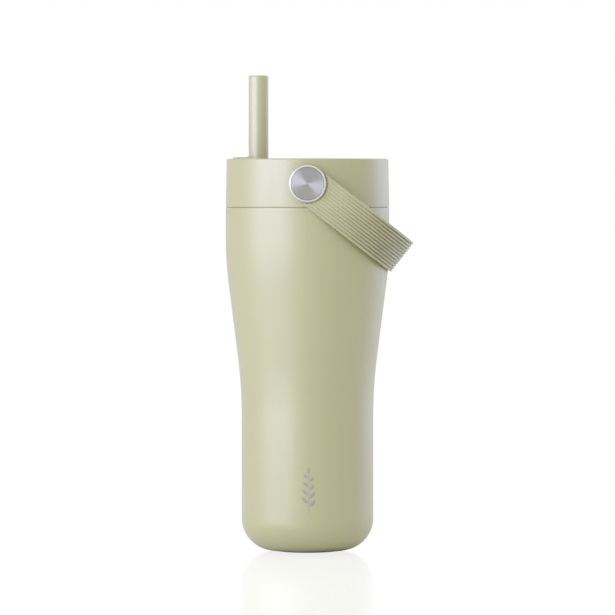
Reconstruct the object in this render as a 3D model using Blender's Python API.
"""Insulated travel mug with a screw-on lid, a flip-up drinking spout and a swinging carry strap.

Frame: origin at the centre of the base pad's resting face, +Z up along the mug's axis. The spout
stands on the -X side. The carry strap turns about an axis along Y and rests on the +X side.
Lengths are in millimetres until link() turns them into Blender's metres.
"""

import math

import bmesh
import bpy

MM = 0.001

# ---- driving dimensions (mm) ----
FIT_GAP = 0.3  # between pieces that touch

# the double-walled body
TOP_R = 43.4  # outside radius at the mouth
BASE_R = 35.0  # outside radius of the lower part, which fits a car's cup holder
CORNER_R = 17.0  # rounding between side and underside
STEEL_BOTTOM_Z = 0.4  # the steel stands this far off the floor, on its pad
SEAM_Z = 182.4  # top of the body
WAIST_TOP_Z = 165.1  # the waist starts to narrow here
TAPER_DEG = 7.2
UPPER_BLEND_R = 180.0
LOWER_BLEND_R = 250.0
STEEL = 0.5  # sheet thickness of both walls
WALL_STACK = 3.8  # outer face of the outer wall to the drinking vessel's inner face
VESSEL_FLOOR_Z = 6.0
LIP_CHAMFER = 0.3
VESSEL_LIP_CHAMFER = 0.4
FOIL_T = 0.25
FOIL_LOW_Z = CORNER_R + 4
FOIL_HIGH_Z = WAIST_TOP_Z + 8

# the underside
BASE_OPENING_R = 17.6
PLATE_Z = 1.6
DIMPLE_R = 5.0
DIMPLE_RISE = 0.8
DIMPLE_FLARE = 0.8
EVACUATION_HOLE_R = 1.2
PLATE_RIM_RISE = 0.2  # the plate's hem over the outer wall's underside
PLATE_RIM_CHAMFER = 0.4
SOLDER_R = 3.0
SOLDER_T = 0.5
PAD_R = 16.4
PAD_T = 1.3
PAD_CHAMFER = 0.3
GETTER_X = 11.0
GETTER_R = 3.2
GETTER_T = 2.0
GETTER_EDGE_R = 0.3

# the screw thread between body and lid
MOUTH_R = TOP_R - WALL_STACK
PLUG_R = 37.6
THREAD_STARTS = 2
THREAD_LEAD = 6.0  # rise in one turn
THREAD_SWEEP_DEG = 150.0
THREAD_Z = 172.0  # lower end of the vessel's ridges
RIDGE_REACH = 1.7
RIDGE_ROOT_H = 1.5
RIDGE_CREST_H = 0.8
PLUG_RIDGE_DROP = 1.5  # the plug's ridges lie this far under the vessel's

# the lid
RIM_Z = 208.2
LID_TOP_R = 42.9
LID_BOTTOM_Z = SEAM_Z + 0.45
LID_WALL = 2.3
LID_IN_R = TOP_R - LID_WALL
DECK_Z = 204.6
DECK_T = 2.0
LEDGE_Z = 186.9  # the plug's flange is welded up against this ledge
LEDGE_T = 2.0
LEDGE_R = 39.2
RIM_INSET = 0.8  # from the lid's inner wall under the deck to the rim's inner face over it
RIM_EDGE_R = 0.8
RIM_CHAMFER = 0.6
SKIRT_CHAMFER = 0.3
PLUG_BOTTOM_Z = 166.0
PLUG_WALL = 2.0
PLUG_CHAMFER = 1.0
FLANGE_Z = 184.8
FLANGE_T = LEDGE_Z - FIT_GAP - FLANGE_Z
VENT_X = 8.0
VENT_Y = 21.0
DECK_VENT_R = 1.1
VALVE_HOLE_R = 1.3
AIR_HOLE_R = 0.7
AIR_HOLE_X = 2.7  # to each side of the valve's middle
VALVE_STEM_R = 1.0
VALVE_R = 4.4
VALVE_DOME = 1.3
VALVE_BULB_R = 1.9
VALVE_BULB_H = 1.6
GASKET_CHAMFER = 0.6
NIPPLE_SEAL_W = 1.8
NIPPLE_SEAL_CHAMFER = 0.6

# the flip-up spout
SPOUT_X = -26.0
SPOUT_AXIS_Z = 200.0
SPOUT_LENGTH = 52.4  # axis to lip
SPOUT_R = 5.25
SPOUT_BORE_R = 3.6
SPOUT_BORE_Z = 5.5  # the wide bore starts this far over the axis
SPOUT_LIP_R = 0.7
DUCT_R = 2.6
BARREL_R = 7.0
BARREL_HALF_Y = 7.7
TAB_REACH = 13.5
TAB_TOP = 9.1
TAB_T = 2.2
TAB_HALF_Y = 4.6
TAB_EDGE_R = 0.5
PIN_R = 1.25
PIN_EDGE_R = 0.2
PIN_IN_Y = 4.7
PIN_OUT_Y = 12.2
POCKET_R = 7.6
POCKET_HALF_Y = 8.1
CHEEK_Y = 12.6
TROUGH_HALF_Y = 6.3
TROUGH_END_X = 29.0
TROUGH_FLOOR_Z = 193.6
TROUGH_WALL = 2.0
TROUGH_EDGE_R = 1.5
PIN_BORE_END_Y = 14.0

# the tube from the spout down to the vessel's floor
SEAL_R = 4.2
SEAL_Z = 190.5
SEAL_TOP_Z = SPOUT_AXIS_Z - 4
COLLAR_WALL = 2.2
COLLAR_FLOOR_T = 2.7
NIPPLE_R = 4.3
NIPPLE_END_Z = 158.0
CONNECTOR_R = 6.0
CONNECTOR_END_Z = 148.0
CONNECTOR_CHAMFER = 1.0
STRAW_R = 3.8
STRAW_BORE_R = 2.8
STRAW_TOP_Z = 157.0
STRAW_END_Z = 15.0
STRAW_CHAMFER = 0.3

# the carry strap, in its own frame: X from its axis to the bend, Z across its width
PIVOT_Z = 195.0
STRAP_REST_DEG = 37.8  # below the horizontal
STRAP_REACH = 63.9  # axis to the outside of the bend
STRAP_W = 19.8
STRAP_T = 2.1
STRAP_IN_Y = 43.8
STRAP_START_X = 5.0
STRAP_HOLLOW_R = 10.3  # its ends curve round the caps
STRAP_EDGE_R = 0.9
GROOVES = 11
GROOVE_PITCH = 1.65
GROOVE_TOP_W = 0.9
GROOVE_FLOOR_W = 0.4
GROOVE_D = 0.6
BEND_STEPS = 20
EYELET_R = 9.1
EYELET_IN_Y = 44.3
EYELET_T = 0.9
EYELET_END_X = 13.0
EYELET_HALF_W = 8.0

# the strap's pivots
CAP_R = 9.7
CAP_IN_Y = 45.7
CAP_T = 2.4
CAP_BEVEL = 0.8
POST_R = 3.0
BUSH_R = 4.2
BUSH_FLANGE_R = 7.2
BUSH_FLANGE_T = 0.4
BUSH_IN_Y = TOP_R + FIT_GAP
BOSS_R = 8.0
BOSS_IN_Y = 36.5
WASHER_R = 5.6
WASHER_T = 0.5
SCREW_R = 1.45
SCREW_HEAD_R = 3.1
SCREW_HEAD_T = 2.0
SCREW_HEAD_CHAMFER = 0.4
SCREW_TIP_Y = 43.0
SCREW_TIP_CHAMFER = 0.5
SCREW_TIP_ROOM = 0.5
HEX_R = 1.5
HEX_D = 1.1

PAST = 2.0  # how far a cutter runs past the wall it cuts
BURIED = 1.0  # how far a piece of stock runs into the one it joins
STAGGER = 0.1  # keeps two faces inside the deck off one plane

# fineness
WIDE = 48  # sides of the visible round pieces
INSIDE = 36  # sides of the hidden ones
SMALL = 16  # sides of pins, seals and screws
TINY = 12  # sides of the air holes
TUBE = 32  # sides of the spout

SAGE = (0.60, 0.60, 0.42)


# ---- scene and materials ----
def clear_scene():
    for obj in list(bpy.data.objects):
        bpy.data.objects.remove(obj)


def material(name, colour, roughness, metallic=0.0):
    made = bpy.data.materials.new(name)
    made.use_nodes = True
    shader = made.node_tree.nodes["Principled BSDF"]
    shader.inputs["Base Color"].default_value = (*colour, 1.0)
    shader.inputs["Roughness"].default_value = roughness
    shader.inputs["Metallic"].default_value = metallic
    return made


# ---- shape helpers ----
def link(name, bm, mat=None, sharp_deg=35.0):
    """Makes an object of a bmesh in millimetres, smooth apart from its sharp edges."""
    bmesh.ops.remove_doubles(bm, verts=bm.verts, dist=1e-3)
    bmesh.ops.recalc_face_normals(bm, faces=bm.faces)
    bmesh.ops.scale(bm, vec=(MM, MM, MM), verts=bm.verts)
    mesh = bpy.data.meshes.new(name)
    bm.to_mesh(mesh)
    bm.free()
    mesh.shade_smooth()
    mesh.set_sharp_from_angle(angle=math.radians(sharp_deg))
    obj = bpy.data.objects.new(name, mesh)
    if mat:
        mesh.materials.append(mat)
    bpy.context.scene.collection.objects.link(obj)
    return obj


def arc(centre_r, centre_z, radius, start_deg, end_deg, steps):
    """Points of an arc in a profile, both ends included; 0 degrees points away from the axis."""
    turn = end_deg - start_deg
    angles = [math.radians(start_deg + turn * k / steps) for k in range(steps + 1)]
    return [(centre_r + radius * math.cos(a), centre_z + radius * math.sin(a)) for a in angles]


def lathe(name, profile, mat=None, sides=INSIDE):
    """Turns (radius, height) points about Z. A profile that leaves the axis and returns to it stays
    open there; any other is closed from its last point to its first."""
    bm = bmesh.new()
    points = [bm.verts.new((r, 0.0, z)) for r, z in profile]
    edges = [bm.edges.new(pair) for pair in zip(points, points[1:])]
    if profile[0][0] > 0 or profile[-1][0] > 0:
        edges.append(bm.edges.new((points[-1], points[0])))
    bmesh.ops.spin(
        bm, geom=points + edges, cent=(0, 0, 0), axis=(0, 0, 1), angle=math.tau, steps=sides
    )
    return link(name, bm, mat)


def box(name, low, high):
    bm = bmesh.new()
    bmesh.ops.create_cube(bm, size=1.0)
    bmesh.ops.scale(bm, vec=[b - a for a, b in zip(low, high)], verts=bm.verts)
    bmesh.ops.translate(bm, vec=[(a + b) / 2 for a, b in zip(low, high)], verts=bm.verts)
    return link(name, bm)


def rod(name, radius, low_z, high_z, at=(0, 0), mat=None, sides=SMALL):
    """A round bar along Z."""
    obj = lathe(name, [(0, low_z), (radius, low_z), (radius, high_z), (0, high_z)], mat, sides)
    obj.location = (at[0] * MM, at[1] * MM, 0)
    return obj


def cross_rod(name, radius, low_y, high_y, x=0.0, z=0.0, mat=None, sides=SMALL):
    """A round bar along Y."""
    obj = lathe(name, [(0, -high_y), (radius, -high_y), (radius, -low_y), (0, -low_y)], mat, sides)
    obj.rotation_euler.x = math.radians(90)
    obj.location = (x * MM, 0, z * MM)
    return obj


def plate(name, outline, low_y, high_y):
    """A flat plate of that (x, z) outline, between two heights along Y."""
    bm = bmesh.new()
    face = bm.faces.new([bm.verts.new((x, low_y, z)) for x, z in outline])
    raised = bmesh.ops.extrude_face_region(bm, geom=[face])
    moved = [item for item in raised["geom"] if isinstance(item, bmesh.types.BMVert)]
    bmesh.ops.translate(bm, vec=(0, high_y - low_y, 0), verts=moved)
    return link(name, bm)


def round_edges(obj, width, segments=2):
    bevel = obj.modifiers.new("rounded", "BEVEL")
    bevel.width = width * MM
    bevel.segments = segments
    return obj


def combine(target, operation, helpers, solver):
    for helper in helpers:
        modifier = target.modifiers.new(helper.name, "BOOLEAN")
        modifier.operation = operation
        modifier.solver = solver
        modifier.object = helper
        helper.hide_render = True
        helper.display_type = "WIRE"


def join(target, *helpers, solver="EXACT"):
    combine(target, "UNION", helpers, solver)


def cut(target, *helpers, solver="EXACT"):
    combine(target, "DIFFERENCE", helpers, solver)


def joint_frame(name, x=0.0, z=0.0, tilt_deg=0.0):
    """An empty on a joint's axis; the pieces that turn there are its children."""
    made = bpy.data.objects.new(name, None)
    made.location = (x * MM, 0, z * MM)
    made.rotation_euler.y = math.radians(tilt_deg)
    bpy.context.scene.collection.objects.link(made)
    return made


def carry(parent, *children):
    for child in children:
        child.parent = parent


# ---- the double-walled body ----
def body_side(inset, steps=3):
    """The outside of the waist, moved in by the inset: (radius, height) points, top first."""
    slope = math.radians(TAPER_DEG)
    shrink = 1 - math.cos(slope)
    upper = arc(TOP_R - UPPER_BLEND_R, WAIST_TOP_Z, UPPER_BLEND_R, 0, -TAPER_DEG, steps)
    straight = TOP_R - BASE_R - (UPPER_BLEND_R + LOWER_BLEND_R) * shrink
    foot_z = upper[-1][1] - straight / math.tan(slope) - LOWER_BLEND_R * math.sin(slope)
    lower = arc(BASE_R + LOWER_BLEND_R, foot_z, LOWER_BLEND_R, 180 - TAPER_DEG, 180, steps)
    return [(r - inset, z) for r, z in upper + lower]


def body_corner(inset, floor_z, steps=5):
    """The rounding from the side to the underside, moved in by the inset: side first."""
    radius = CORNER_R - inset
    return arc(BASE_R - CORNER_R, floor_z + radius, radius, 0, -90, steps)


def make_outer_shell(mat):
    outside = [(TOP_R - LIP_CHAMFER, SEAM_Z), (TOP_R, SEAM_Z - LIP_CHAMFER)]
    outside += body_side(0) + body_corner(0, STEEL_BOTTOM_Z)
    inside = body_side(STEEL, 2) + body_corner(STEEL, STEEL_BOTTOM_Z + STEEL, 4)
    outside += [(BASE_OPENING_R, STEEL_BOTTOM_Z), (BASE_OPENING_R, STEEL_BOTTOM_Z + STEEL)]
    lathe("outer_shell", outside + inside[::-1] + [(TOP_R - STEEL, SEAM_Z)], mat, WIDE)


def thread_ridge(name, wall_r, side, start_deg, base_z):
    """A helical ridge on a round wall. Side is 1 for one that stands outwards and -1 for inwards."""
    root_r = wall_r - side * STEEL / 2
    crest_r = wall_r + side * RIDGE_REACH
    root, crest = RIDGE_ROOT_H / 2, RIDGE_CREST_H / 2
    section = ((root_r, -root), (crest_r, -crest), (crest_r, crest), (root_r, root))
    steps = round(THREAD_SWEEP_DEG * INSIDE / 360)
    bm = bmesh.new()
    rings = []
    for k in range(steps + 1):
        turned = THREAD_SWEEP_DEG * k / steps
        angle = math.radians(start_deg + turned)
        z = base_z + THREAD_LEAD * turned / 360
        rings.append(
            [bm.verts.new((r * math.cos(angle), r * math.sin(angle), z + h)) for r, h in section]
        )
    for ring, following in zip(rings, rings[1:]):
        for i in range(4):
            j = (i + 1) % 4
            bm.faces.new((ring[i], ring[j], following[j], following[i]))
    bm.faces.new(rings[0])
    bm.faces.new(rings[-1])
    return link(name, bm)


def thread_ridges(name, wall_r, side, base_z):
    return [
        thread_ridge(f"{name}_{k}", wall_r, side, 360 * k / THREAD_STARTS, base_z)
        for k in range(THREAD_STARTS)
    ]


def make_inner_vessel(mat):
    """The drinking vessel: its lip meets the outer wall, and its mouth holds the lid's thread."""
    lip_r = TOP_R - STEEL - FIT_GAP
    inside = body_side(WALL_STACK, 2) + body_corner(WALL_STACK, VESSEL_FLOOR_Z, 4)
    skin = WALL_STACK - STEEL
    outside = body_side(skin, 2) + body_corner(skin, VESSEL_FLOOR_Z - STEEL, 4)
    lip = [(MOUTH_R, SEAM_Z - VESSEL_LIP_CHAMFER), (MOUTH_R + VESSEL_LIP_CHAMFER, SEAM_Z)]
    lip.append((lip_r, SEAM_Z))
    lip += [(lip_r, SEAM_Z - STEEL), (MOUTH_R + STEEL, SEAM_Z - 2 * STEEL)]
    profile = [(0, VESSEL_FLOOR_Z)] + inside[::-1] + lip + outside + [(0, VESSEL_FLOOR_Z - STEEL)]
    vessel = lathe("inner_vessel", profile, mat)
    join(vessel, *thread_ridges("vessel_ridge", MOUTH_R, -1, THREAD_Z))


def make_reflector_foil(mat):
    """Foil wrapped round the vessel, inside the vacuum."""
    inner = WALL_STACK - STEEL - FIT_GAP
    outer = inner - FOIL_T
    faces = []
    for inset in (inner, outer):
        face = [(TOP_R - inset, FOIL_HIGH_Z)] + body_side(inset, 2)
        faces.append(face + [(BASE_R - inset, FOIL_LOW_Z)])
    lathe("reflector_foil", faces[1] + faces[0][::-1], mat)


def make_underside(mats):
    """The welded base plate, the plug of its evacuation hole, the getter and the non-slip pad."""
    rim_r = BASE_OPENING_R - FIT_GAP
    top_z = PLATE_Z + STEEL
    rim_z = STEEL_BOTTOM_Z + PLATE_RIM_RISE
    crown = [(EVACUATION_HOLE_R, top_z + DIMPLE_RISE), (DIMPLE_R, top_z + DIMPLE_RISE)]
    crown += [(DIMPLE_R + DIMPLE_FLARE, top_z), (rim_r - PLATE_RIM_CHAMFER, top_z)]
    crown += [(rim_r, top_z - PLATE_RIM_CHAMFER), (rim_r, rim_z)]
    under_r = DIMPLE_R - PLATE_RIM_RISE
    under = [(rim_r - STEEL, rim_z), (rim_r - STEEL, PLATE_Z), (under_r + DIMPLE_FLARE, PLATE_Z)]
    under += [(under_r, PLATE_Z + DIMPLE_RISE), (EVACUATION_HOLE_R, PLATE_Z + DIMPLE_RISE)]
    lathe("outer_base", crown + under, mats["steel"])

    stem_r = EVACUATION_HOLE_R - FIT_GAP
    head = [(0, PLATE_Z), (SOLDER_R, PLATE_Z), (SOLDER_R, PLATE_Z + SOLDER_T)]
    stem = [(stem_r, PLATE_Z + SOLDER_T), (stem_r, top_z + DIMPLE_RISE), (0, top_z + DIMPLE_RISE)]
    lathe("vacuum_plug", head + stem, mats["solder"], SMALL)

    low_z = top_z + FIT_GAP
    getter = rod("getter", GETTER_R, low_z, low_z + GETTER_T, (GETTER_X, 0), mats["getter"])
    round_edges(getter, GETTER_EDGE_R, 1)

    pad = [(0, 0), (PAD_R - PAD_CHAMFER, 0), (PAD_R, PAD_CHAMFER), (PAD_R, PAD_T), (0, PAD_T)]
    lathe("base_pad", pad, mats["pad"])


# ---- the lid ----
def well(name, radius, high_z, half_y):
    """Stock or a cutter round the spout's axis: half-round below it and straight-sided above."""
    outline = arc(SPOUT_X, SPOUT_AXIS_Z, radius, 180, 360, 20)
    outline += [(SPOUT_X + radius, high_z), (SPOUT_X - radius, high_z)]
    return plate(name, outline, -half_y, half_y)


def spout_housing():
    """Solid stock under the deck that the spout's pocket and trough are cut into."""
    into_deck_z = DECK_Z - DECK_T / 2
    channel = box(
        "channel",
        (SPOUT_X + PAST, -TROUGH_HALF_Y - TROUGH_WALL, TROUGH_FLOOR_Z - TROUGH_WALL),
        (TROUGH_END_X + TROUGH_WALL, TROUGH_HALF_Y + TROUGH_WALL, into_deck_z - STAGGER),
    )
    collar_low_z = SEAL_Z - FIT_GAP - COLLAR_FLOOR_T
    return (
        well("housing", POCKET_R + TROUGH_WALL, into_deck_z, CHEEK_Y),
        channel,
        rod("seal_collar", SEAL_R + COLLAR_WALL, collar_low_z, TROUGH_FLOOR_Z, (SPOUT_X, 0)),
        rod("nipple", NIPPLE_R, NIPPLE_END_Z, SEAL_Z - BURIED, (SPOUT_X, 0)),
    )


def spout_holes():
    """The pocket the spout turns in, the trough it folds into, its pins' bores and its duct."""
    trough = box(
        "trough",
        (SPOUT_X + BURIED, -TROUGH_HALF_Y, TROUGH_FLOOR_Z),
        (TROUGH_END_X, TROUGH_HALF_Y, DECK_Z + 2 * PAST),
    )
    bore_r, bore_y = PIN_R + FIT_GAP, PIN_BORE_END_Y
    return (
        well("pocket", POCKET_R, DECK_Z + PAST, POCKET_HALF_Y),
        round_edges(trough, TROUGH_EDGE_R),
        cross_rod("pin_bore", bore_r, -bore_y, bore_y, SPOUT_X, SPOUT_AXIS_Z),
        rod("seal_seat", SEAL_R + FIT_GAP, SEAL_Z - FIT_GAP, SPOUT_AXIS_Z, (SPOUT_X, 0)),
        rod("duct", DUCT_R, NIPPLE_END_Z - PAST, SPOUT_AXIS_Z, (SPOUT_X, 0)),
    )


def make_lid_shell(mat):
    """The lid's wall and deck, with the spout's housing under the deck and the strap's two bosses."""
    rim_r = LID_IN_R - RIM_INSET
    crown = [(0, DECK_Z), (rim_r, DECK_Z), (rim_r, RIM_Z - RIM_CHAMFER), (rim_r + RIM_CHAMFER, RIM_Z)]
    crown += arc(LID_TOP_R - RIM_EDGE_R, RIM_Z - RIM_EDGE_R, RIM_EDGE_R, 90, 0, 3)
    skirt = [(TOP_R, LID_BOTTOM_Z + SKIRT_CHAMFER), (TOP_R - SKIRT_CHAMFER, LID_BOTTOM_Z)]
    skirt += [(LID_IN_R, LID_BOTTOM_Z), (LID_IN_R, LEDGE_Z), (LEDGE_R, LEDGE_Z)]
    skirt.append((LEDGE_R, LEDGE_Z + LEDGE_T))
    skirt += [(LID_IN_R, LEDGE_Z + LEDGE_T), (LID_IN_R, DECK_Z - DECK_T), (0, DECK_Z - DECK_T)]
    shell = lathe("lid_shell", crown + skirt, mat, WIDE)
    middle_y = TOP_R - LID_WALL / 2
    bosses = [
        cross_rod("boss_front", BOSS_R, -middle_y, -BOSS_IN_Y, z=PIVOT_Z),
        cross_rod("boss_back", BOSS_R, BOSS_IN_Y, middle_y, z=PIVOT_Z),
    ]
    bore_r, near_y, far_y = POST_R + FIT_GAP, BOSS_IN_Y - PAST, TOP_R + PAST
    post_bores = [
        cross_rod("post_bore_front", bore_r, -far_y, -near_y, z=PIVOT_Z),
        cross_rod("post_bore_back", bore_r, near_y, far_y, z=PIVOT_Z),
    ]
    low_z, high_z = DECK_Z - DECK_T - PAST, DECK_Z + PAST
    vent = rod("deck_vent", DECK_VENT_R, low_z, high_z, (VENT_X, VENT_Y))
    join(shell, *bosses, *spout_housing(), solver="MANIFOLD")
    cut(shell, *spout_holes(), vent, *post_bores, solver="MANIFOLD")


def make_lid_plug(mat):
    """The threaded cup under the lid. The hollow above its floor insulates."""
    floor_z = PLUG_BOTTOM_Z + PLUG_WALL
    flange_r = LID_IN_R - FIT_GAP
    top_z = FLANGE_Z + FLANGE_T
    inside = [(0, floor_z), (PLUG_R - PLUG_WALL, floor_z), (PLUG_R - PLUG_WALL, top_z)]
    outside = [(flange_r, top_z), (flange_r, FLANGE_Z), (PLUG_R, FLANGE_Z)]
    outside += [(PLUG_R, PLUG_BOTTOM_Z + PLUG_CHAMFER), (PLUG_R - PLUG_CHAMFER, PLUG_BOTTOM_Z)]
    outside.append((0, PLUG_BOTTOM_Z))
    plug = lathe("lid_plug", inside + outside, mat)
    join(plug, *thread_ridges("plug_ridge", PLUG_R, 1, THREAD_Z - PLUG_RIDGE_DROP))
    low_z, high_z = PLUG_BOTTOM_Z - PAST, floor_z + PAST
    holes = [rod("nipple_hole", NIPPLE_R + FIT_GAP, low_z, high_z, (SPOUT_X, 0))]
    holes.append(rod("valve_hole", VALVE_HOLE_R, low_z, high_z, (VENT_X, VENT_Y)))
    for k, side in enumerate((-1, 1)):
        spot = (VENT_X + side * AIR_HOLE_X, VENT_Y)
        holes.append(rod(f"air_hole_{k}", AIR_HOLE_R, low_z, high_z, spot, sides=TINY))
    cut(plug, *holes)


def make_lid_seals(mat):
    """The lid's gasket, the seal round the nipple, and the umbrella valve that lets air in."""
    low_z, high_z = SEAM_Z + FIT_GAP, FLANGE_Z - FIT_GAP
    inner_r, outer_r = PLUG_R + FIT_GAP, LID_IN_R - FIT_GAP
    ring = [(inner_r, low_z), (outer_r - GASKET_CHAMFER, low_z), (outer_r, low_z + GASKET_CHAMFER)]
    lathe("lid_gasket", ring + [(outer_r, high_z), (inner_r, high_z)], mat)

    seal_low = PLUG_BOTTOM_Z + PLUG_WALL + FIT_GAP
    seal_high = seal_low + NIPPLE_SEAL_W
    seal_in = NIPPLE_R + FIT_GAP
    seal_out = seal_in + NIPPLE_SEAL_W
    ring = [(seal_in, seal_low), (seal_out, seal_low), (seal_out, seal_high - NIPPLE_SEAL_CHAMFER)]
    ring += [(seal_out - NIPPLE_SEAL_CHAMFER, seal_high), (seal_in, seal_high)]
    seal = lathe("nipple_seal", ring, mat, SMALL)
    seal.location.x = SPOUT_X * MM

    under, over = PLUG_BOTTOM_Z - FIT_GAP, seal_low
    dome = [(0, under - VALVE_DOME), (0.57 * VALVE_R, under - 0.85 * VALVE_DOME)]
    dome += [(VALVE_R, under - 0.3 * VALVE_DOME), (VALVE_R, under), (VALVE_STEM_R, under)]
    bulb = [(VALVE_STEM_R, over), (VALVE_BULB_R, over), (VALVE_BULB_R, over + 0.4 * VALVE_BULB_H)]
    bulb += [(VALVE_STEM_R, over + VALVE_BULB_H), (0, over + VALVE_BULB_H)]
    valve = lathe("vent_valve", dome + bulb, mat, SMALL)
    valve.location = (VENT_X * MM, VENT_Y * MM, 0)


def make_straw(mats):
    """The tube that reaches the vessel's floor, and the sleeve that holds it to the nipple."""
    sleeve_in, straw_in = NIPPLE_R + FIT_GAP, STRAW_R + FIT_GAP
    top_z = PLUG_BOTTOM_Z - FIT_GAP
    step_z = (NIPPLE_END_Z + STRAW_TOP_Z) / 2
    outside = [(CONNECTOR_R, top_z), (CONNECTOR_R, CONNECTOR_END_Z + CONNECTOR_CHAMFER)]
    outside.append((CONNECTOR_R - CONNECTOR_CHAMFER, CONNECTOR_END_Z))
    inside = [(straw_in, CONNECTOR_END_Z), (straw_in, step_z), (sleeve_in, step_z + FIT_GAP)]
    sleeve = lathe("straw_connector", outside + inside + [(sleeve_in, top_z)], mats["seal"], SMALL)
    sleeve.location.x = SPOUT_X * MM

    outside = [(STRAW_R, STRAW_TOP_Z), (STRAW_R, STRAW_END_Z + STRAW_CHAMFER)]
    outside.append((STRAW_R - STRAW_CHAMFER, STRAW_END_Z))
    inside = [(STRAW_BORE_R, STRAW_END_Z), (STRAW_BORE_R, STRAW_TOP_Z)]
    straw = lathe("lower_straw", outside + inside, mats["clear"], SMALL)
    straw.location.x = SPOUT_X * MM


def make_spout(mats):
    """The spout with its thumb tab and barrel; two pins carry it and a seal meets it."""
    axis = joint_frame("spout_axis", SPOUT_X, SPOUT_AXIS_Z)
    lip = arc(SPOUT_R - SPOUT_LIP_R, SPOUT_LENGTH - SPOUT_LIP_R, SPOUT_LIP_R, 0, 90, 2)
    tube = [(0, 0), (SPOUT_R, 0)] + lip + [(0, SPOUT_LENGTH)]
    spout = lathe("spout", tube, mats["lid"], TUBE)
    barrel = cross_rod("barrel", BARREL_R, -BARREL_HALF_Y, BARREL_HALF_Y, sides=WIDE)
    tab_low, tab_high = (-TAB_REACH, -TAB_HALF_Y, TAB_TOP - TAB_T), (-BURIED, TAB_HALF_Y, TAB_TOP)
    tab = round_edges(box("thumb_tab", tab_low, tab_high), TAB_EDGE_R)
    join(spout, barrel, tab)
    bore = rod("spout_bore", SPOUT_BORE_R, SPOUT_BORE_Z, SPOUT_LENGTH + PAST)
    duct = rod("barrel_duct", DUCT_R, -BARREL_R - PAST, SPOUT_BORE_Z + BURIED)
    socket_r, near_y, far_y = PIN_R + FIT_GAP, PIN_IN_Y - FIT_GAP, BARREL_HALF_Y + PAST
    sockets = [
        cross_rod("pin_socket_front", socket_r, -far_y, -near_y),
        cross_rod("pin_socket_back", socket_r, near_y, far_y),
    ]
    cut(spout, bore, duct, *sockets)
    carry(axis, spout, barrel, tab, bore, duct, *sockets)

    for name, low_y, high_y in (
        ("spout_pin_front", -PIN_OUT_Y, -PIN_IN_Y),
        ("spout_pin_back", PIN_IN_Y, PIN_OUT_Y),
    ):
        pin = cross_rod(name, PIN_R, low_y, high_y, SPOUT_X, SPOUT_AXIS_Z, mats["steel"])
        round_edges(pin, PIN_EDGE_R, 1)

    hole_r = DUCT_R + FIT_GAP
    ring = [(hole_r, SEAL_Z), (SEAL_R, SEAL_Z), (SEAL_R, SEAL_TOP_Z), (hole_r, SEAL_TOP_Z)]
    seal = lathe("spout_seal", ring, mats["seal"], SMALL)
    seal.location.x = SPOUT_X * MM
    swept_r = BARREL_R + FIT_GAP
    swept_y = SEAL_R + PAST
    swept = cross_rod("barrel_sweep", swept_r, -swept_y, swept_y, SPOUT_X, SPOUT_AXIS_Z, sides=WIDE)
    cut(seal, swept)


# ---- the carry strap ----
def strap_section():
    """The strap's outline as (height over the inner face, place across the width) points."""
    half_w = STRAP_W / 2
    near, far = STRAP_EDGE_R, STRAP_T - STRAP_EDGE_R
    side = half_w - STRAP_EDGE_R
    points = arc(near, -side, STRAP_EDGE_R, 180, 270, 2)
    points += arc(far, -side, STRAP_EDGE_R, 270, 360, 2)
    floor = STRAP_T - GROOVE_D
    for k in range(GROOVES):
        middle = (k - (GROOVES - 1) / 2) * GROOVE_PITCH
        top, bottom = GROOVE_TOP_W / 2, GROOVE_FLOOR_W / 2
        points += [(STRAP_T, middle - top), (floor, middle - bottom)]
        points += [(floor, middle + bottom), (STRAP_T, middle + top)]
    points += arc(far, side, STRAP_EDGE_R, 0, 90, 2)
    return points + arc(near, side, STRAP_EDGE_R, 90, 180, 2)


def make_strap(mat):
    """One ribbed band: two arms and the bend between them, with a thin eyelet at each end."""
    axis = joint_frame("strap_axis", z=PIVOT_Z, tilt_deg=STRAP_REST_DEG)
    bend_x = STRAP_REACH - STRAP_IN_Y - STRAP_T
    stations = [(STRAP_START_X, -STRAP_IN_Y, 0, -1)]
    for k in range(BEND_STEPS + 1):
        turn = math.pi * k / BEND_STEPS
        out_x, out_y = math.sin(turn), -math.cos(turn)
        stations.append((bend_x + STRAP_IN_Y * out_x, STRAP_IN_Y * out_y, out_x, out_y))
    stations.append((STRAP_START_X, STRAP_IN_Y, 0, 1))
    section = strap_section()
    bm = bmesh.new()
    rings = [
        [bm.verts.new((x + t * out_x, y + t * out_y, w)) for t, w in section]
        for x, y, out_x, out_y in stations
    ]
    for ring, following in zip(rings, rings[1:]):
        for i in range(len(section)):
            j = (i + 1) % len(section)
            bm.faces.new((ring[i], ring[j], following[j], following[i]))
    bm.faces.new(rings[0])
    bm.faces.new(rings[-1])
    strap = link("carry_strap", bm, mat)

    far_y = EYELET_IN_Y + STRAP_T + PAST
    hollow = cross_rod("cap_room", STRAP_HOLLOW_R, -far_y, far_y, sides=WIDE)
    turn_deg = math.degrees(math.asin(EYELET_HALF_W / EYELET_R))
    outline = arc(0, 0, EYELET_R, turn_deg, 360 - turn_deg, 24)
    outline += [(EYELET_END_X, -EYELET_HALF_W), (EYELET_END_X, EYELET_HALF_W)]
    eyelets = [
        plate("eyelet_front", outline, -EYELET_IN_Y - EYELET_T, -EYELET_IN_Y),
        plate("eyelet_back", outline, EYELET_IN_Y, EYELET_IN_Y + EYELET_T),
    ]
    bore = cross_rod("eyelet_bore", BUSH_R + FIT_GAP, -far_y, far_y)
    cut(strap, hollow, solver="MANIFOLD")
    join(strap, *eyelets, solver="MANIFOLD")
    cut(strap, bore, solver="MANIFOLD")
    carry(axis, strap, hollow, *eyelets, bore)


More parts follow.
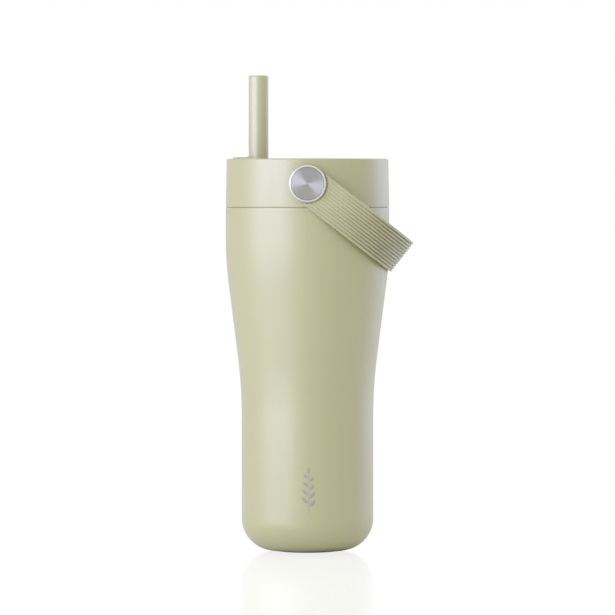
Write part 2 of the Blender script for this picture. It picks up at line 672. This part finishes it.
def make_pivot(name, facing, mats):
    """Cap with post, bush, washer and screw on one side; the profiles run along the pivot's axis."""

    def turned(piece, profile, mat, sides=SMALL):
        obj = lathe(f"{piece}_{name}", profile, mat, sides)
        obj.rotation_euler.x = math.radians(-90 * facing)
        obj.location.z = PIVOT_Z * MM
        return obj

    face_y = CAP_IN_Y + CAP_T
    rim = [(0, face_y), (CAP_R - CAP_BEVEL, face_y), (CAP_R, face_y - CAP_BEVEL), (CAP_R, CAP_IN_Y)]
    post = [(POST_R, CAP_IN_Y), (POST_R, BOSS_IN_Y), (SCREW_R + FIT_GAP, BOSS_IN_Y)]
    depth_y = SCREW_TIP_Y + SCREW_TIP_ROOM
    depth = [(SCREW_R + FIT_GAP, depth_y), (0, depth_y)]
    turned("pivot_cap", rim + post + depth, mats["spun"], WIDE)

    sleeve_in, tip_y = POST_R + FIT_GAP, CAP_IN_Y - FIT_GAP
    flange_y = BUSH_IN_Y + BUSH_FLANGE_T
    sleeve = [(sleeve_in, BUSH_IN_Y), (BUSH_FLANGE_R, BUSH_IN_Y), (BUSH_FLANGE_R, flange_y)]
    sleeve += [(BUSH_R, flange_y), (BUSH_R, tip_y), (sleeve_in, tip_y)]
    turned("pivot_bush", sleeve, mats["nylon"])

    washer_y = BOSS_IN_Y - FIT_GAP
    hole_r = SCREW_R + FIT_GAP
    washer = [(hole_r, washer_y), (WASHER_R, washer_y), (WASHER_R, washer_y - WASHER_T)]
    turned("pivot_washer", washer + [(hole_r, washer_y - WASHER_T)], mats["steel"])

    seat_y = washer_y - WASHER_T - FIT_GAP
    head_y = seat_y - SCREW_HEAD_T
    head = [(0, head_y), (SCREW_HEAD_R - SCREW_HEAD_CHAMFER, head_y)]
    head += [(SCREW_HEAD_R, head_y + SCREW_HEAD_CHAMFER), (SCREW_HEAD_R, seat_y)]
    shank = [(SCREW_R, seat_y), (SCREW_R, SCREW_TIP_Y - SCREW_TIP_CHAMFER)]
    shank += [(SCREW_R - SCREW_TIP_CHAMFER, SCREW_TIP_Y), (0, SCREW_TIP_Y)]
    screw = turned("pivot_screw", head + shank, mats["steel"])
    key = [(0, head_y - PAST), (HEX_R, head_y - PAST), (HEX_R, head_y + HEX_D), (0, head_y + HEX_D)]
    cut(screw, turned("hex_key", key, None, 6))


def make_mug():
    mats = {
        "coat": material("powder_coat", SAGE, 0.5),
        "lid": material("lid_plastic", SAGE, 0.45),
        "strap": material("strap_rubber", SAGE, 0.6),
        "liner": material("liner_plastic", (0.80, 0.80, 0.76), 0.4),
        "steel": material("stainless_steel", (0.62, 0.62, 0.62), 0.25, 1.0),
        "spun": material("spun_steel", (0.75, 0.75, 0.77), 0.3, 1.0),
        "copper": material("copper_foil", (0.80, 0.45, 0.30), 0.3, 1.0),
        "getter": material("getter_alloy", (0.30, 0.30, 0.32), 0.6, 1.0),
        "solder": material("glass_solder", (0.25, 0.25, 0.28), 0.3),
        "seal": material("silicone", (0.85, 0.85, 0.82), 0.55),
        "clear": material("straw_plastic", (0.88, 0.90, 0.88), 0.3),
        "nylon": material("nylon", (0.85, 0.85, 0.82), 0.5),
        "pad": material("pad_rubber", (0.35, 0.35, 0.30), 0.7),
    }
    make_outer_shell(mats["coat"])
    make_inner_vessel(mats["steel"])
    make_reflector_foil(mats["copper"])
    make_underside(mats)
    make_lid_shell(mats["lid"])
    make_lid_plug(mats["liner"])
    make_lid_seals(mats["seal"])
    make_straw(mats)
    make_spout(mats)
    make_strap(mats["strap"])
    for name, facing in (("front", -1), ("back", 1)):
        make_pivot(name, facing, mats)


clear_scene()
make_mug()
